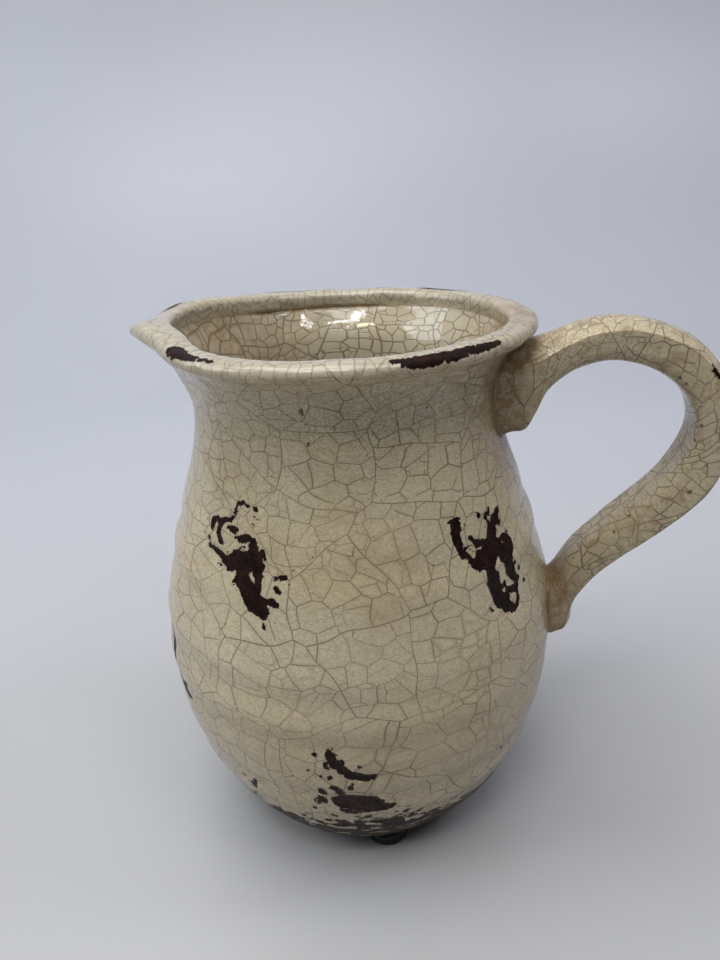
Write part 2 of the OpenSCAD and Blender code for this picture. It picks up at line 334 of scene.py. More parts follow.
def varied(line, gap_at):
    """The same line with its points gap_at(height) apart."""
    run = np.concatenate([[0], np.cumsum(np.linalg.norm(np.diff(line, axis=0), axis=1))])
    at = [0.0]
    while at[-1] < run[-1]:
        at.append(at[-1] + gap_at(np.interp(at[-1], run, line[:, 1])))
    at = np.array(at) * run[-1] / at[-1]
    return np.stack([np.interp(at, run, line[:, 0]), np.interp(at, run, line[:, 1])], 1)


def wall_columns():
    """Angles round the vessel, closer together across the front, where the finest marks are."""
    edges = np.linspace(-180, 180, 2881)
    front = np.exp(-(np.maximum(np.abs(edges[:-1] + 79.5) - 54, 0) / 6) ** 2)
    lip = np.exp(-((np.abs(edges[:-1]) - 180) / 25) ** 2)
    weight = 1 + 2.6 * np.maximum(front, 0.2 * lip)
    run = np.concatenate([[0], np.cumsum(weight)])
    return np.interp(np.linspace(0, run[-1], 321)[:-1], run, edges)


def make_vessel():
    az = wall_columns()
    outside = varied(WALL_CURVE, lambda z: 0.8 if 28 < z < 74 or 101 < z < 146 or z > 159 else 1.6)
    fillet = np.array([[56.9, 180.6], [58.9, 181.6], [60.7, 182.3]])
    lip = spaced(np.vstack([fillet, lip_point(np.linspace(4, 192, 200))]), 0.95)
    lip_arc = np.degrees(np.arctan2((lip[:, 1] - LIP_Z) / LIP_HALF_H, (lip[:, 0] - LIP_R) / LIP_HALF_W))
    lip_share = np.clip((lip[:, 0] - LIP_R) / LIP_HALF_W / 2 + 0.5, 0, 1)
    inner = WALL_CURVE - WALL * normals_of(WALL_CURVE)
    inner = inner[(WALL_CURVE[:, 1] > BASE_Z + 13) & (WALL_CURVE[:, 1] < RIM_Z - 12)][::-1]
    crease = np.array([[52.38, 181.3], [52.1, 180.7], [51.45, 179.6], [50.4, 178.0], [48.6, 175.2],
                       [46.5, 171.2],
                       [45.0, 166.0], [44.6, 160.5]])
    inner = inner[inner[:, 1] < 156]
    inside = spline(np.vstack([crease, inner[::6], [40.5, 12.6], [36, 11.2], [30, 10.0]]), 10)
    inside = varied(inside, lambda z: 0.38 if z > 179.5 else 1.2 if z > 160 else 3.7)
    under = np.array([[14, BASE_Z], [28, BASE_Z], [36, BASE_Z], [39.5, BASE_Z], [41, BASE_Z],
                      [41.5, BASE_Z + 0.3],
                      [41.8, BASE_Z + 0.8]])
    floor = np.array([[22, 9.6], [12, 9.5], [5, 9.45]])
    line = np.vstack([under, outside, lip, inside, floor])
    zone = np.concatenate([np.full(len(p), k) for k, p in enumerate((under, outside, lip, inside, floor))])
    share = np.where(zone <= 1, 1.0, 0.0)
    share[zone == 2] = lip_share
    n = normals_of(line)
    r, z = line[:, :1], line[:, 1:]
    flat = np.radians(az)[None]
    raw = np.stack([r * np.cos(flat), r * np.sin(flat), z + 0 * flat], -1)
    steps = np.linalg.norm(np.diff(line, axis=0), axis=1) / np.maximum((line[1:, 0] + line[:-1, 0]) / 2, 25)
    climbed = np.concatenate([[0], np.cumsum(steps)])[:, None] * 65 + 0 * flat

    # the marks of throwing and of hands, as a distance along the wall's own normal
    climb = np.clip((z - 12) / 20, 0, 1) * np.clip((182 - z) / 14, 0, 1)
    rings = 0.17 * np.sin(z / 2.05 + 0.5 * np.sin(z / 9)) + 0.25 * np.sin(z / 3.1 + 1.2)
    rings = rings * (0.75 + 0.35 * np.sin(flat * 2 + z / 15))
    push = climb * (rings + 0.15 * lumps(raw, 40, 3) + 0.05 * lumps(raw, 13, 5))
    on_clay = (zone[:, None] >= 1) & (zone[:, None] <= 3)
    push = np.where(on_clay, push, 0.0) * np.where((zone == 3)[:, None], 0.45, 1.0)
    lipness = (zone == 2)[:, None]
    push = push + np.where(lipness, 0.16 * lumps(raw, 16, 8) + 0.08 * lumps(raw, 6, 9), 0.0)
    groove = np.exp(-((z - 181.0) / 0.6) ** 2) * (zone[:, None] == 3)
    far = np.exp(-(np.maximum(np.abs(az[None] - 112) - 22, 0) / 9) ** 2)
    push = push - groove * 0.75 * far

    moved_r = r + push * n[:, :1]
    moved_z = z + push * n[:, 1:]
    points = pull(moved_r, moved_z, share[:, None], az[None])

    flat_points = points.reshape(-1, 3)
    outer = np.repeat(np.isin(zone, (1, 2)), len(az))
    worn = np.full(len(flat_points), -6.0)
    for strokes, to_point in ((STROKES + BACK_STROKES, on_wall), (RIM_CHIPS, on_lip)):
        centres, radii = stroke_spheres(strokes, to_point)
        worn[outer] = np.maximum(worn[outer], depth_inside(flat_points[outer], centres, radii))
    worn = worn.reshape(points.shape[:2])
    cut = 0.22 * np.clip(worn + 0.3, 0, 1)
    points = pull(moved_r - cut * n[:, :1], moved_z - cut * n[:, 1:], share[:, None], az[None])

    # how likely loose flecks are: all along the foot, and round the patches
    low = np.clip((42 - z) / 17, 0, 1) * (0.76 + 0.24 * np.cos(np.radians(az[None] + 84)))
    fleck = np.where((zone == 1)[:, None], np.maximum(low, 0.22 * np.clip(1 + worn / 4, 0, 1)), 0.0)
    fleck[zone == 0] = 0.0
    inside_flag = np.where(zone >= 3, 1.0, 0.0)[:, None] + 0 * flat
    rim = np.where(zone == 2, np.clip((lip_arc_full(zone, lip_arc) - 8) / 20, 0, 1)
                   * np.clip((196 - lip_arc_full(zone, lip_arc)) / 20, 0, 1), 0.0)[:, None] + 0 * flat
    bare = np.where(zone == 0, 1.0, 0.0)[:, None] + 0 * flat
    root = root_stain(points)
    # Painted shade: a dark line along the groove under the far rim.
    painted_shade = np.clip(1.1 * groove * far, 0, 1)
    spots = np.full(len(flat_points), -6.0)
    centres, radii = stroke_spheres(BROWN_MARKS, on_wall)
    spots[outer] = depth_inside(flat_points[outer], centres, radii)
    # More painted shade inside the cup, below the spout.
    mouth = np.abs((az[None] + 360) % 360 - 168)
    by_lip = 0.62 * (zone == 3)[:, None] * np.exp(-(mouth / 42) ** 2) * np.clip((z - 150) / 14, 0, 1)
    painted_shade = np.maximum(painted_shade, by_lip)
    thread = np.full(len(flat_points), -6.0)
    centres, radii = stroke_spheres(SEEP_LINES, on_wall)
    thread[outer] = depth_inside(flat_points[outer], centres, radii)
    thread = 0.8 * np.clip(0.2 + thread.reshape(points.shape[:2]), 0, 1)
    # The brown value stored below joins the real stains by the handle's roots and along the seep line with
    # the painted shade.
    values = {"worn": worn, "fleck": fleck, "cup": inside_flag, "rim": rim, "bare": bare,
              "stain_and_shade": np.maximum(np.maximum(root, painted_shade), thread), "across": climbed,
              "seep": spots.reshape(points.shape[:2])}
    return grid_mesh("vessel_clay", points, first=(AXIS_X, 0, BASE_Z), last=(AXIS_X, 0, 9.45), values=values)


def lip_arc_full(zone, lip_arc):
    full = np.zeros(len(zone))
    full[zone == 2] = np.where(lip_arc < -90, lip_arc + 360, lip_arc)
    return full


# ---------------------------------------------------------------- handle
# Outer face X, Z, inner face X, Z, half width, X measured from the vessel's axis

STRAP = [
    (48.6, 175.6, 48.6, 151.4, 11.6), (53, 177.5, 53, 150.2, 12.3), (59, 179, 58.6, 150.4, 12.2),
    (65.5, 180.6, 61.6, 155.8, 11.7), (72.5, 183.2, 65.0, 163.8, 11.1), (80, 185.2, 73.2, 170.3, 10.8),
    (89, 185.4, 84, 172.9, 10.5), (98, 183.4, 94, 170.8, 10.5), (107, 179.4, 101.5, 166.6, 10.5),
    (115, 172.4, 107, 160.8, 10.5), (121, 163, 109.6, 154, 10.5), (123.6, 152.5, 109.9, 148.5, 10.5),
    (122.8, 141, 108.4, 143.2, 10.5), (117.6, 128.5, 104.3, 135.6, 10.5), (107, 117, 97, 126.5, 10.4),
    (95, 107, 86.5, 116.2, 10.3), (86, 98.4, 76.8, 105.4, 10.1), (80.5, 89.8, 70.5, 94.5, 9.6),
    (78.3, 82.6, 66.4, 85, 9.0), (77.8, 78.2, 65, 79.6, 8.5), (76.0, 75.0, 64, 76.6, 7.5),
    (68.0, 74.2, 61, 75.8, 5.8)]

# Half of the strap's section: across, and from the inner face (-1) to the crown of the outer one (+1)
STRAP_SECTION = [(0, 1), (0.40, 0.93), (0.72, 0.775), (0.92, 0.645), (0.962, 0.605), (0.98, 0.555),
                 (0.987, 0.48), (0.985, 0.28),
                 (0.97, -0.05), (0.95, -0.42), (0.87, -0.76), (0.69, -0.94), (0.35, -1.0)]


def strap_loop():
    """The whole section of the strap, with its points evenly spaced."""
    half = np.array(STRAP_SECTION)
    loop = np.vstack([half, [[0, -1]], (half[1:] * [-1, 1])[::-1]])
    return spaced(np.vstack([spline(loop, 10, closed=True), loop[:1]]), 0.050)[:-1]


def strap_points(loop):
    """Rings of points on the strap's skin, with each point's gap to the wall and each ring's place along."""
    s = spline(STRAP, 14)
    mid, out = (s[:, 0:2] + s[:, 2:4]) / 2, (s[:, 0:2] - s[:, 2:4]) / 2
    run = np.concatenate([[0], np.cumsum(np.linalg.norm(np.diff(mid, axis=0), axis=1))])
    s = np.column_stack([mid, out, s[:, 4]])
    at = np.linspace(0, run[-1], int(run[-1] / 1.0))
    s = np.stack([np.interp(at, run, s[:, k]) for k in range(5)], 1)
    x = s[:, 0:1] + s[:, 2:3] * loop[None, :, 1]
    z = s[:, 1:2] + s[:, 3:4] * loop[None, :, 1]
    y = s[:, 4:5] * loop[None, :, 0]
    p = np.stack([x, y, z], -1)
    centre = np.stack([s[:, 0], 0 * s[:, 0], s[:, 1]], -1)[:, None]
    away = p - centre
    away /= np.linalg.norm(away, axis=2)[..., None]
    gap = np.hypot(p[..., 0], p[..., 1]) - wall_radius(p[..., 2])
    # a soft flare where the strap was smoothed on to the wall, and slight unevenness everywhere
    flare = 2.1 * np.clip(1 - np.clip(gap, 0, None) / 4.5, 0, 1) ** 2 * np.clip(1 + gap / 3, 0, 1)
    p = p + away * (flare + 0.20 * lumps(p, 24, 21) + 0.045 * lumps(p, 9, 22))[..., None]
    gap = np.hypot(p[..., 0], p[..., 1]) - wall_radius(p[..., 2])
    return p, gap, at


def root_loop(p, gap, level, lower):
    """The line round a root where the strap stands `level` off the wall."""
    loop = []
    for j in range(p.shape[1]):
        over = gap[:, j] > level
        i = int(np.argmax(over)) if not lower else len(over) - int(np.argmax(over[::-1])) - 1
        k = i - 1 if not lower else i + 1
        t = (level - gap[i, j]) / (gap[k, j] - gap[i, j])
        loop.append(p[i, j] + t * (p[k, j] - p[i, j]))
    return np.array(loop)


def smooth_loop(p, times):
    for _ in range(times):
        p = (np.roll(p, 1, 0) + 2 * p + np.roll(p, -1, 0)) / 4
    return p


STRAP_LOOP = strap_loop()
STRAP_P, STRAP_GAP, STRAP_RUN = strap_points(STRAP_LOOP)
ROOTS = [smooth_loop(root_loop(STRAP_P, STRAP_GAP, 0.35, lower), 4) for lower in (False, True)]


def root_stain(points):
    """Brown stain that fades away from the two roots of the handle, points in the row frame."""
    q = points.reshape(-1, 3) - [AXIS_X, 0, 0]
    out = np.zeros(len(q))
    for loop, reach, most in ((ROOTS[0], 9.0, 1.5), (ROOTS[1], 8.0, 1.4)):
        lo, hi = loop.min(0) - 26, loop.max(0) + 26
        near = np.nonzero(((q > lo) & (q < hi)).all(1))[0]
        if len(near):
            d = np.linalg.norm(q[near, None] - loop[None], axis=2).min(1)
            out[near] = np.maximum(out[near], most * np.exp(-(d / reach) ** 1.2))
    return out.reshape(points.shape[:-1])


def make_handle():
    p = STRAP_P + [AXIS_X, 0, 0]
    flat_p = p.reshape(-1, 3)
    chip, marks = spaced(on_skin(flat_p, STRAP_CHIP), 0.3), on_skin(flat_p, STRAP_MARKS)
    worn = depth_inside(flat_p, chip[:, :3], chip[:, 3]).reshape(p.shape[:2])
    seep = depth_inside(flat_p, marks[:, :3], marks[:, 3] + 0.25).reshape(p.shape[:2])
    under = np.clip((140 - p[..., 2]) / 60, 0, 1) * 0.22
    turn = np.linspace(0, 2 * math.pi, p.shape[1] + 1)[:-1][None] + 0 * worn
    values = {"worn": worn, "stain_and_shade": np.maximum(root_stain(p), under),
              "across": STRAP_RUN[:, None] + 0 * worn, "seep": seep,
              "turn_c": np.cos(turn), "turn_s": np.sin(turn)}
    section = STRAP_LOOP[None, :, :] * [1, 0.55]
    ridge = np.linalg.norm(np.abs(section) - [0.972, 0.585 * 0.55], axis=2) * 10.5 + 0 * worn
    values["ridge"] = np.where(STRAP_LOOP[None, :, 1] > 0, ridge, 9.0)
    first, last = p[0].mean(0), p[-1].mean(0)
    return grid_mesh("handle_strap", p, first=first, last=last, values=values)


def make_slip(name, loop, radius, seed):
    """The bead of slip squeezed out round a root."""
    loop = spaced(np.vstack([loop, loop[:1]]), 0.7)[:-1]
    t = np.roll(loop, -1, 0) - np.roll(loop, 1, 0)
    t /= np.linalg.norm(t, axis=1)[:, None]
    out = loop * [1, 1, 0]
    out /= np.linalg.norm(out, axis=1)[:, None]
    side = np.cross(t, out)
    side /= np.linalg.norm(side, axis=1)[:, None]
    out = np.cross(side, t)
    size = radius * (1 + 0.22 * lumps(loop, 7, seed) + 0.12 * lumps(loop, 3, seed + 1))
    a = np.linspace(0, 2 * math.pi, 13)[:-1]
    ring = out[:, None] * np.cos(a)[None, :, None] * 0.8 + side[:, None] * np.sin(a)[None, :, None]
    p = loop[:, None] - out[:, None] * 0.35 + ring * size[:, None, None] + [AXIS_X, 0, 0]
    return closed_tube(name, p)


def closed_tube(name, p):
    rings, n = p.shape[:2]
    i, j = np.meshgrid(np.arange(rings), np.arange(n), indexing="ij")
    k, m = (i + 1) % rings, (j + 1) % n
    faces = np.stack([i * n + j, k * n + j, k * n + m, i * n + m], -1).reshape(-1, 4)
    mesh = bpy.data.meshes.new(name)
    mesh.from_pydata((p.reshape(-1, 3) * 0.001).tolist(), [], faces.tolist())
    mesh.update()
    mesh.shade_smooth()
    obj = bpy.data.objects.new(name, mesh)
    bpy.context.scene.collection.objects.link(obj)
    return obj


# ---------------------------------------------------------------- feet

def turned(name, line, centre, sides=72, wobble=0.0, seed=1):
    """A small turned piece from its half section, on its own axis."""
    line = np.array(line, float)
    a = np.linspace(0, 2 * math.pi, sides + 1)[:-1]
    r = line[1:-1, :1] * (1 + wobble * np.sin(3 * a + seed)[None])
    p = np.stack([r * np.cos(a) + centre[0], r * np.sin(a) + centre[1], line[1:-1, 1:] + 0 * a], -1)
    return grid_mesh(name, p, first=(*centre, line[0, 1]), last=(*centre, line[-1, 1]))


def foot_line():
    edge = [(7.95 - 1 + math.cos(t), 1 + math.sin(t)) for t in np.linspace(-math.pi / 2, 0, 9)]
    under = [(0, 0.25), (4.0, 0.25), (4.9, 0.2), (5.7, 0.0)]
    side = [(7.92, 1.8), (7.8, 2.2), (7.8, 2.7), (7.72, 2.95), (7.5, 3.0), (4, 3.0), (0, 3.0)]
    return under + edge + side


def glue_line():
    return [(0, 3.0), (6, 3.0), (7.6, 3.0), (7.73, 3.06), (7.62, 3.2), (7.72, 3.34), (7.6, 3.4), (6, 3.4),
            (0, 3.4)]


# ---------------------------------------------------------------- shader nodes

class Net:
    """A short way to write a node tree."""

    def __init__(self, name):
        self.mat = bpy.data.materials.new(name)
        self.mat.use_nodes = True
        self.tree = self.mat.node_tree
        self.tree.nodes.clear()
        self.out = self.tree.nodes.new("ShaderNodeOutputMaterial")

    def node(self, kind, inputs=None, **props):
        n = self.tree.nodes.new(kind)
        for k, v in props.items():
            setattr(n, k, v)
        for k, v in (inputs or {}).items():
            self.put(n.inputs[k], v)
        return n

    def put(self, socket, v):
        if isinstance(v, bpy.types.NodeSocket):
            self.tree.links.new(v, socket)
        else:
            socket.default_value = v

    def math(self, op, a, b=0.0, c=0.0, clamp=False):
        return self.node("ShaderNodeMath", {0: a, 1: b, 2: c}, operation=op, use_clamp=clamp).outputs[0]

    def vec(self, op, a, b=(0, 0, 0), scale=None):
        n = self.node("ShaderNodeVectorMath", {0: a, 1: b}, operation=op)
        if scale is not None:
            self.put(n.inputs["Scale"], scale)
        return n.outputs["Value"] if op in ("DOT_PRODUCT", "LENGTH", "DISTANCE") else n.outputs["Vector"]

    def step(self, v, low, high, a=0.0, b=1.0, smooth=True):
        n = self.node("ShaderNodeMapRange", {0: v, 1: low, 2: high, 3: a, 4: b}, clamp=True)
        n.interpolation_type = "SMOOTHSTEP" if smooth else "LINEAR"
        return n.outputs[0]

    def mix(self, f, a, b, blend="MIX"):
        n = self.node("ShaderNodeMix", data_type="RGBA", blend_type=blend, clamp_factor=True)
        self.put(n.inputs[0], f)
        self.put(n.inputs[6], a)
        self.put(n.inputs[7], b)
        return n.outputs[2]

    def lerp(self, f, a, b):
        n = self.node("ShaderNodeMix", data_type="FLOAT", clamp_factor=True)
        self.put(n.inputs[0], f)
        self.put(n.inputs[2], a)
        self.put(n.inputs[3], b)
        return n.outputs[0]

    def noise(self, p, size, detail=2.0, rough=0.5, color=False):
        n = self.node("ShaderNodeTexNoise",
                      {"Vector": p, "Scale": 1.0 / size, "Detail": detail, "Roughness": rough})
        return n.outputs[1] if color else n.outputs[0]

    def value(self, name):
        return self.node("ShaderNodeAttribute", attribute_name=name, attribute_type="GEOMETRY").outputs["Fac"]


def crackle(net, q, cell, scale, offset=None, jitter=0.8):
    """Cracks between the cells of a flat pattern.

    Gives the distance to the nearest crack in mm, the direction across it and the cell's own colour.
    """
    q = net.vec("SCALE", q, scale=1.0 / cell)
    if offset is not None:
        q = net.vec("ADD", q, offset)
    q = net.vec("MULTIPLY", q, (1, 1, 0))
    sites = [net.node("ShaderNodeTexVoronoi", {"Vector": q, "Scale": 1.0, "Randomness": jitter}, feature=f,
                      voronoi_dimensions="2D") for f in ("F1", "F2")]
    a, b = (s.outputs["Position"] for s in sites)
    across = net.vec("NORMALIZE", net.vec("SUBTRACT", b, a))
    middle = net.vec("SCALE", net.vec("ADD", a, b), scale=0.5)
    d = net.math("ABSOLUTE", net.vec("DOT_PRODUCT", net.vec("SUBTRACT", q, middle), across))
    return net.math("MULTIPLY", d, net.math("MULTIPLY", scale, cell)), across, sites[0].outputs["Color"]


def glaze(name, strap=False):
    """Cream crackle glaze over dark clay, for the vessel or for its handle."""
    net = Net(name)
    pos = net.node("ShaderNodeTexCoord").outputs["Object"]
    p = net.vec("SCALE", net.vec("SUBTRACT", pos, (AXIS_X * 0.001, 0, 0)), scale=1000.0)
    height_z = net.node("ShaderNodeSeparateXYZ", {0: p}).outputs[2]
    bend = net.vec("SCALE", net.vec("SUBTRACT", net.noise(p, 40, 0.0, color=True), (0.5, 0.5, 0.5)),
                   scale=15.0)
    curl = net.vec("SCALE", net.vec("SUBTRACT", net.noise(p, 12, 0.0, color=True), (0.5, 0.5, 0.5)),
                   scale=4.2)
    warp = net.vec("ADD", bend, curl)

    # a flat map of the surface, in mm: round and along
    if strap:
        angle = net.math("ARCTAN2", net.value("turn_s"), net.value("turn_c"))
        moved = net.node("ShaderNodeSeparateXYZ", {0: net.vec("SCALE", warp, scale=0.55)})
        u = net.math("ADD", net.math("MULTIPLY", angle, 8.9), moved.outputs[0])
        v = net.math("ADD", net.value("across"), moved.outputs[1])
        scale = 1.0
        seam = net.math("MULTIPLY", net.math("SUBTRACT", math.pi, net.math("ABSOLUTE", angle)), 8.9)
        cup, rim, bare, fleck = 0.0, 0.0, 0.0, 0.0
        size = 0.70
    else:
        moved = net.node("ShaderNodeSeparateXYZ", {0: net.vec("ADD", p, warp)})
        angle = net.math("ARCTAN2", net.math("MULTIPLY", moved.outputs[1], -1.0),
                         net.math("MULTIPLY", moved.outputs[0], -1.0))
        u = net.math("MULTIPLY", angle, 65.0)
        v = net.math("ADD", net.value("across"), net.node("ShaderNodeSeparateXYZ", {0: warp}).outputs[2])
        flat_p = net.vec("MULTIPLY", p, (1, 1, 0))
        radius = net.vec("LENGTH", flat_p)
        scale = net.math("DIVIDE", net.math("MAXIMUM", radius, 25.0), 65.0)
        seam = net.math("ADD", net.math("ABSOLUTE", moved.outputs[1]),
                        net.step(moved.outputs[0], 0.0, 5.0, 50.0, 0.0))
        cup, rim, bare, fleck = (net.value(k) for k in ("cup", "rim", "bare", "fleck"))
        size = 1.0
    q = net.node("ShaderNodeCombineXYZ", {0: u, 1: net.math("MULTIPLY", v, 1.18), 2: 0.0}).outputs[0]
    if not strap:
        q = net.vec("SCALE", q, scale=net.math("ADD", 1.0, net.math("MULTIPLY", cup, 0.10)))

    # crackle in two sizes; the small cracks stop at the large ones
    d1, n1, c1 = crackle(net, q, 31.0 * size, scale, None, 0.9)
    shift = net.vec("SCALE", c1, scale=37.0)
    d2, n2, c2 = crackle(net, q, 8.9 * size, scale, shift, 0.74)
    split = net.node("ShaderNodeSeparateColor", {0: c2})
    shift2 = net.vec("ADD", net.vec("SCALE", c2, scale=41.0), shift)
    d3, n3, _ = crackle(net, q, 7.0 * size, scale, shift2, 0.6)
    d1 = net.math("MINIMUM", d1, seam)

    def beside(d, a, b):
        """1 where a small crack would run close along a larger one."""
        side_by_side = net.step(net.math("ABSOLUTE", net.vec("DOT_PRODUCT", a, b)), 0.80, 0.94)
        return net.math("MULTIPLY", side_by_side, net.step(d, 1.6, 2.4, 1.0, 0.0))

    fade = net.noise(p, 18, 1.0)
    if strap:
        thick = net.step(fade, 0.35, 0.65, 0.08, 0.17)
    else:
        thick = net.lerp(cup, net.step(fade, 0.35, 0.65, 0.05, 0.10), 0.27)

    def line(d, thinner):
        return net.step(net.math("SUBTRACT", d, net.math("MULTIPLY", thick, thinner)), -0.04, 0.22, 1.0, 0.0)

    # up to one small cell in five is cut again, fewer low down
    divided = net.math("GREATER_THAN", split.outputs[2], net.step(height_z, 40, 105, 0.93, 0.80))
    keep2 = net.math("SUBTRACT", 1.0, beside(d1, n1, n2))
    near12 = net.math("MAXIMUM", beside(d1, n1, n3), beside(d2, n2, n3))
    keep3 = net.math("MULTIPLY", divided, net.math("SUBTRACT", 1.0, near12))
    l1 = net.math("MULTIPLY", line(d1, 1.0), net.step(fade, 0.3, 0.6, 0.85, 1.0))
    l2 = net.math("MULTIPLY", net.math("MULTIPLY", line(d2, 0.9), keep2), net.step(fade, 0.3, 0.6, 0.75, 1.0))
    l3 = net.math("MULTIPLY", net.math("MULTIPLY", line(d3, 0.7), keep3),
                  net.step(fade, 0.3, 0.65, 0.55, 0.9))
    cracks = net.math("MAXIMUM", net.math("MAXIMUM", l1, l2), l3)

    if not strap:
        # across the rim the cracks run outwards, a few millimetres apart
        xyz = net.node("ShaderNodeSeparateXYZ", {0: p})
        turn = net.math("ARCTAN2", net.math("MULTIPLY", xyz.outputs[1], -1.0),
                        net.math("MULTIPLY", xyz.outputs[0], -1.0))
        wander = net.math("MULTIPLY", net.math("SUBTRACT", net.noise(p, 9, 1.0), 0.5), 5.0)
        round_rim = net.node("ShaderNodeCombineXYZ", {
            0: net.math("ADD", net.math("MULTIPLY", turn, 57.0), wander),
            1: net.math("MULTIPLY", net.value("across"), 0.36), 2: 0.0}).outputs[0]
        dr = crackle(net, round_rim, 3.1, 1.0, None, 0.85)[0]
        radial = net.math("MULTIPLY", net.step(dr, 0.05, 0.34, 0.80, 0.0),
                          net.step(fade, 0.3, 0.6, 0.65, 1.0))
        cracks = net.lerp(rim, cracks, net.math("MAXIMUM", radial, net.math("MULTIPLY", l1, 0.7)))

    # worn patches: the painted distance made ragged, plus loose flecks
    grain = net.noise(p, 1.1, 4.0, 0.7)
    rag = net.math("SUBTRACT", net.noise(p, 2.1, 4.0, 0.6), 0.5)
    streak = net.math("SUBTRACT", net.noise(net.vec("MULTIPLY", p, (1.0, 1.0, 0.3)), 0.95, 2.0, 0.6), 0.5)
    edge = net.math("ADD", net.math("MULTIPLY", rag, 2.7), net.math("MULTIPLY", streak, 1.4))
    worn = net.step(net.math("ADD", net.value("worn"), edge), -0.40, -0.20)
    if not strap:
        spots = net.math("ADD", net.noise(net.vec("MULTIPLY", p, (1.0, 1.0, 1.5)), 4.6, 3.0, 0.62),
                         net.math("MULTIPLY", fleck, 0.295))
        worn = net.math("MAXIMUM", worn,
                        net.math("MULTIPLY", net.step(spots, 0.695, 0.712), net.step(fleck, 0.02, 0.08)))
        worn = net.math("MULTIPLY", worn, net.math("SUBTRACT", 1.0, bare))

    # colours of the glaze, with painted shade low down and a painted sheen on the rim
    broad = net.noise(p, 48, 3.0, 0.55)
    cream = net.mix(net.step(broad, 0.35, 0.65), (0.485, 0.396, 0.248, 1), (0.550, 0.470, 0.318, 1))
    cool = net.mix(net.step(net.noise(p, 26, 2.0), 0.42, 0.62, 0.0, 0.5), cream, (0.495, 0.438, 0.315, 1))
    shade = split.outputs[0]
    # Lower down a darker, warmer cream: mostly painted shade and warm reflected light, a little of it the
    # glaze's own tone.
    warm = net.mix(net.step(height_z, 110, 45, 0.0, 0.85), cool, (0.475, 0.388, 0.240, 1))
    # The rim, and less the inside of the cup, turn a greyer cream: a painted sheen of the light, with some of
    # the glaze's own tone.
    if not strap:
        warm = net.mix(net.math("MAXIMUM", net.math("MULTIPLY", rim, 0.80),
                                net.math("MULTIPLY", cup, 0.55)), warm,
                       (0.400, 0.362, 0.288, 1))
    tile = net.mix(net.math("MULTIPLY", shade, 0.10), warm, (0.32, 0.25, 0.14, 1))
    ridges = net.noise(net.vec("MULTIPLY", p, (1.0, 1.0, 1.7)), 1.6, 2.0, 0.55)
    micro = net.step(net.math("ABSOLUTE", net.math("SUBTRACT", ridges, 0.5)), 0.0, 0.055, 1.0, 0.0)
    if not strap:
        micro = net.math("MULTIPLY", micro,
                         net.math("SUBTRACT", 1.0, net.math("MULTIPLY", net.math("MAXIMUM", rim, cup), 0.6)))
    fine_net = net.mix(net.math("MULTIPLY", micro, 0.42), tile, (0.24, 0.185, 0.105, 1))
    near = net.math("MINIMUM", net.math("MINIMUM", d1, d2), d3)
    halo = net.math("MULTIPLY", net.step(near, 0.2, 1.6, 1.0, 0.0),
                    net.step(net.noise(p, 21, 2.0), 0.45, 0.7, 0.03, 0.30))
    seeped = net.mix(halo, fine_net, (0.27, 0.18, 0.08, 1))
    # Brown where that value is high: real stains by the roots and along seep lines, and on the vessel also
    # painted shade in the rim groove and inside below the spout.
    blotch = net.step(net.noise(p, 3.5, 4.0, 0.65), 0.38, 0.66, 0.45, 1.25)
    stain_shade_amount = net.math("MULTIPLY", net.value("stain_and_shade"), blotch, clamp=True)
    if strap:
        stain_shade_amount = net.math("MAXIMUM", stain_shade_amount, net.step(net.noise(p, 5.5, 3.0, 0.65), 0.52, 0.66, 0.10, 0.62))
    seep = net.math("ADD", net.value("seep"),
                    net.math("MULTIPLY", net.math("SUBTRACT", net.noise(p, 0.9, 2.0), 0.5), 0.8))
    stain_and_shade = net.math("MAXIMUM", stain_shade_amount, net.step(seep, -0.12, 0.12))
    stained_and_shaded = net.mix(net.math("MULTIPLY", stain_shade_amount, 0.85), seeped, (0.225, 0.125, 0.036, 1))
    stained_and_shaded = net.mix(net.math("MULTIPLY", net.step(seep, -0.12, 0.12), 0.85), stained_and_shaded,
                      (0.060, 0.028, 0.010, 1))
    dots = net.node("ShaderNodeTexVoronoi", {"Vector": p, "Scale": 1 / 11.0, "Randomness": 1.0})
    dot_pick = net.node("ShaderNodeSeparateColor", {0: dots.outputs["Color"]})
    dot = net.math("MULTIPLY", net.step(dots.outputs["Distance"], 0.025, 0.05, 1.0, 0.0),
                   net.step(dot_pick.outputs[0], 0.62, 0.66))
    dotted = net.mix(net.math("MULTIPLY", dot, 0.85), stained_and_shaded, (0.07, 0.04, 0.02, 1))
    ink = net.mix(net.noise(p, 12, 1.0), (0.115, 0.085, 0.050, 1), (0.170, 0.130, 0.082, 1))
    if strap:
        thin = net.math("ADD", net.value("ridge"), net.math("MULTIPLY", net.noise(p, 7, 2.0), 1.1))
        dotted = net.mix(net.step(thin, 0.55, 1.0, 0.62, 0.0), dotted, (0.20, 0.13, 0.055, 1))
    glazed = net.mix(net.math("MULTIPLY", cracks, 0.80), dotted, ink)

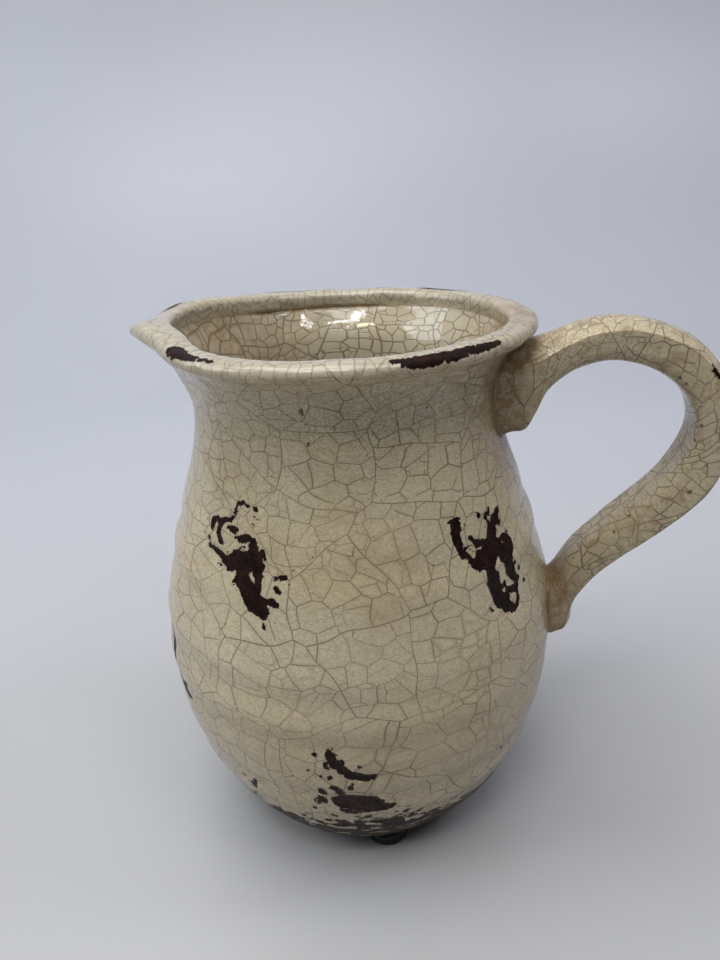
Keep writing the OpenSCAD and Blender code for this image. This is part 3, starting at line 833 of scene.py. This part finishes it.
    # the clay under it, dustier low down
    clay = net.mix(net.step(net.noise(p, 3.4, 4.0, 0.7), 0.36, 0.66), (0.0050, 0.0014, 0.0013, 1),
                   (0.022, 0.0068, 0.0052, 1))
    dust = net.math("MULTIPLY", net.step(net.noise(p, 1.6, 3.0, 0.6), 0.40, 0.66),
                    net.step(height_z, 45, 75, 0.34, 0.03))
    dusty = net.mix(dust, clay, (0.095, 0.052, 0.038, 1))
    colour = net.mix(worn, glazed, dusty)
    gloss = net.math("ADD", net.lerp(net.noise(p, 9, 2.0), 0.03, 0.085),
                     net.math("MULTIPLY", net.math("ADD", cracks, stain_and_shade), 0.16))
    if not strap:
        gloss = net.math("MULTIPLY", gloss, net.math("SUBTRACT", 1.0, net.math("MULTIPLY", cup, 0.65)))
    rough = net.lerp(worn, gloss, net.lerp(grain, 0.20, 0.52))
    if not strap:
        ground = net.mix(net.noise(p, 6, 5.0, 0.6), (0.23, 0.165, 0.105, 1), (0.36, 0.27, 0.18, 1))
        colour = net.mix(bare, colour, ground)
        rough = net.lerp(bare, rough, 0.8)

    height = net.math("MULTIPLY", cracks, -0.03)
    calm = 1.0 if strap else net.math("SUBTRACT", 1.0, net.math("MAXIMUM", net.math("MULTIPLY", cup, 0.98),
                                                            net.math("MULTIPLY", rim, 0.80)))
    skin = net.math("ADD", net.math("MULTIPLY", micro, -0.13),
                    net.math("MULTIPLY", net.noise(p, 3.2, 1.0), 0.13))
    height = net.math("ADD", height, net.math("MULTIPLY", skin, calm))
    dents = net.math("ADD", net.math("MULTIPLY", grain, 0.22), net.math("MULTIPLY", streak, 0.22))
    height = net.math("ADD", height, net.math("MULTIPLY", worn, net.math("ADD", -0.30, dents)))
    bump = net.node("ShaderNodeBump", {"Height": height, "Distance": 0.001, "Strength": 1.0})
    shader = net.node("ShaderNodeBsdfPrincipled",
                      {"Base Color": colour, "Roughness": rough, "Normal": bump.outputs[0]})
    shader.inputs["IOR"].default_value = 1.5
    net.put(shader.inputs["Specular IOR Level"], net.lerp(worn, 0.5, 0.08))
    net.tree.links.new(shader.outputs[0], net.out.inputs[0])
    return net.mat


def plain(name, size, dark, light, rough, bump, detail=4.0, fleck=None):
    """A mottled matt material."""
    net = Net(name)
    pos = net.node("ShaderNodeTexCoord").outputs["Object"]
    p = net.vec("SCALE", pos, scale=1000.0)
    n = net.noise(p, size, detail, 0.6)
    colour = net.mix(n, dark, light)
    if fleck:
        colour = net.mix(net.step(net.noise(p, size * 0.4, 3.0, 0.6), 0.60, 0.72, 0.0, 0.5), colour, fleck)
    b = net.node("ShaderNodeBump", {"Height": n, "Distance": bump * 0.001, "Strength": 1.0})
    shader = net.node("ShaderNodeBsdfPrincipled", {"Base Color": colour, "Normal": b.outputs[0],
                                                   "Roughness": net.lerp(n, rough - 0.08, rough + 0.08)})
    net.tree.links.new(shader.outputs[0], net.out.inputs[0])
    return net.mat


# ---------------------------------------------------------------- build

def dress(obj, material, slot, *nodes):
    obj.data.materials.append(material)
    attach(obj, "root")
    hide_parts(*nodes)
    return obj


body_glaze = glaze("crackle_glaze")
strap_glaze = glaze("crackle_glaze_strap", strap=True)
slip_mat = plain("stained_slip", 1.2, (0.10, 0.060, 0.026, 1), (0.30, 0.215, 0.12, 1), 0.30, 0.25,
                 fleck=(0.45, 0.38, 0.26, 1))
rubber = plain("black_rubber", 0.8, (0.0022, 0.0022, 0.0024, 1), (0.0075, 0.0074, 0.0076, 1), 0.66, 0.05,
               fleck=(0.020, 0.019, 0.017, 1))
glue = plain("grey_adhesive", 0.6, (0.10, 0.10, 0.095, 1), (0.17, 0.165, 0.155, 1), 0.62, 0.08)

dress(make_vessel(), body_glaze, "glazed_clay", "vessel")
dress(make_handle(), strap_glaze, "glazed_clay", "handle")
dress(make_slip("slip_bead_upper", ROOTS[0], 0.85, 41), slip_mat, "slip", "upper_slip_joint")
dress(make_slip("slip_bead_lower", ROOTS[1], 0.70, 43), slip_mat, "slip", "lower_slip_joint")
for side in ("front", "right", "back", "left"):
    lo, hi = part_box("foot_" + side)
    centre = ((lo.x + hi.x) * 500, (lo.y + hi.y) * 500)
    dress(turned("rubber_foot_" + side, foot_line(), centre), rubber, "foot_rubber", "foot_" + side)
    dress(turned("adhesive_pad_" + side, glue_line(), centre, wobble=0.004), glue, "foot_adhesive",
          "adhesive_" + side)


# ---------------------------------------------------------------- stage, camera and light

def make_stage():
    """A pale sweep: flat floor that curves up into a backdrop."""
    line = [(-1.6, 0.0), (0.55, 0.0)]
    line += [(0.55 + 0.5 * math.sin(t), 0.5 - 0.5 * math.cos(t)) for t in np.linspace(0.08, math.pi / 2, 18)]
    line += [(1.05, 1.9)]
    mesh = bpy.data.meshes.new("sweep")
    verts = [(x, y, z) for y, z in line for x in (-2.2, 2.2)]
    mesh.from_pydata(verts, [], [(2 * k, 2 * k + 1, 2 * k + 3, 2 * k + 2) for k in range(len(line) - 1)])
    mesh.update()
    mesh.shade_smooth()
    obj = bpy.data.objects.new("sweep", mesh)
    obj.rotation_euler[2] = math.radians(10)
    bpy.context.scene.collection.objects.link(obj)
    net = Net("pale_surface")
    pos = net.node("ShaderNodeTexCoord").outputs["Object"]
    tone = net.noise(pos, 0.35, 3.0)
    # Towards the front the floor is darker and neutral: painted shade of the dim room in front; further back
    # it turns paler and bluer.
    depth = net.step(net.node("ShaderNodeSeparateXYZ", {0: pos}).outputs[1], -0.25, 0.55)
    near = net.mix(tone, (0.362, 0.358, 0.358, 1), (0.398, 0.394, 0.394, 1))
    far = net.mix(tone, (0.430, 0.440, 0.485, 1), (0.468, 0.478, 0.518, 1))
    colour = net.mix(depth, near, far)
    shader = net.node("ShaderNodeBsdfPrincipled", {"Base Color": colour, "Roughness": 0.42})
    net.tree.links.new(shader.outputs[0], net.out.inputs[0])
    obj.data.materials.append(net.mat)


def area(name, place, target, size, power, colour=(1, 1, 1), size_y=None):
    data = bpy.data.lights.new(name, "AREA")
    data.shape = "RECTANGLE"
    data.size, data.size_y = size, size_y or size
    data.energy = power
    data.color = colour
    obj = bpy.data.objects.new(name, data)
    obj.location = place
    obj.rotation_euler = (Vector(target) - Vector(place)).to_track_quat("-Z", "Y").to_euler()
    bpy.context.scene.collection.objects.link(obj)


make_stage()
world = bpy.data.worlds.new("soft_room")
world.use_nodes = True
room = world.node_tree
backing = room.nodes["Background"]
side = room.nodes.new("ShaderNodeSeparateXYZ")
toward = room.nodes.new("ShaderNodeMapRange")
room.links.new(room.nodes.new("ShaderNodeTexCoord").outputs["Generated"], side.inputs[0])
room.links.new(side.outputs[1], toward.inputs[0])
for k, v in enumerate((-0.7, 0.7, 0.04, 0.34), 1):
    toward.inputs[k].default_value = v
room.links.new(toward.outputs[0], backing.inputs[1])
backing.inputs[0].default_value = (0.82, 0.87, 1.0, 1)
bpy.context.scene.world = world

area("ceiling", (-0.20, -0.16, 1.65), (-0.03, 0, 0.12), 1.7, 26.0, (0.98, 0.985, 1.0), 1.1)
area("side_panel", (-1.2, -0.35, 0.95), (0, 0, 0.12), 0.8, 8.5, (0.87, 0.94, 1.0))
area("back_wash", (1.05, 0.1, 1.5), (0.62, 1.0, 0.80), 0.5, 6.5, (0.92, 0.95, 1.0))
for k, (place, wide, tall, power, tint) in enumerate((
        ((0.07, -0.63, 1.10), 0.40, 0.050, 1.35, (1.0, 1.0, 1.0)),
        ((0.50, -0.42, 1.08), 0.19, 0.036, 0.50, (1.0, 1.0, 1.0)),
        ((0.54, -0.45, 1.03), 0.19, 0.036, 0.50, (1.0, 1.0, 1.0)),
        ((-0.12, -0.59, 1.13), 0.18, 0.036, 0.45, (1.0, 1.0, 1.0)),
        ((-0.22, -0.68, 1.04), 0.26, 0.040, 0.60, (1.0, 0.93, 0.66)),
        ((-0.79, -0.46, 0.85), 0.15, 0.250, 0.40, (1.0, 0.93, 0.66)))):
    area("pane_%d" % k, place, (0, 0, 0.17), wide, power, tint, tall)

# The camera stands 234 mm from the vessel's axis and 231 mm up, looks 23.5 degrees down and leans 3.4 degrees
turn = Matrix.Rotation(math.radians(10), 3, "Z")
down, lean = math.radians(23.5), math.radians(-3.43)
look = turn @ Vector((0, math.cos(down), -math.sin(down)))
right = turn @ Vector((1, 0, 0))
up = right.cross(look)
right, up = math.cos(lean) * right + math.sin(lean) * up, -math.sin(lean) * right + math.cos(lean) * up
camera = bpy.data.objects.new("camera", bpy.data.cameras.new("camera"))
camera.matrix_world = Matrix((right, up, -look)).transposed().to_4x4()
camera.location = turn @ Vector((0.003, -0.2341, 0.2313)) + Vector((AXIS_X * 0.001, 0, 0))
camera.data.sensor_width = 36
camera.data.lens = 27.04
camera.data.clip_start = 0.01
bpy.context.scene.collection.objects.link(camera)
bpy.context.scene.camera = camera
bpy.context.scene.view_settings.view_transform = "Standard"
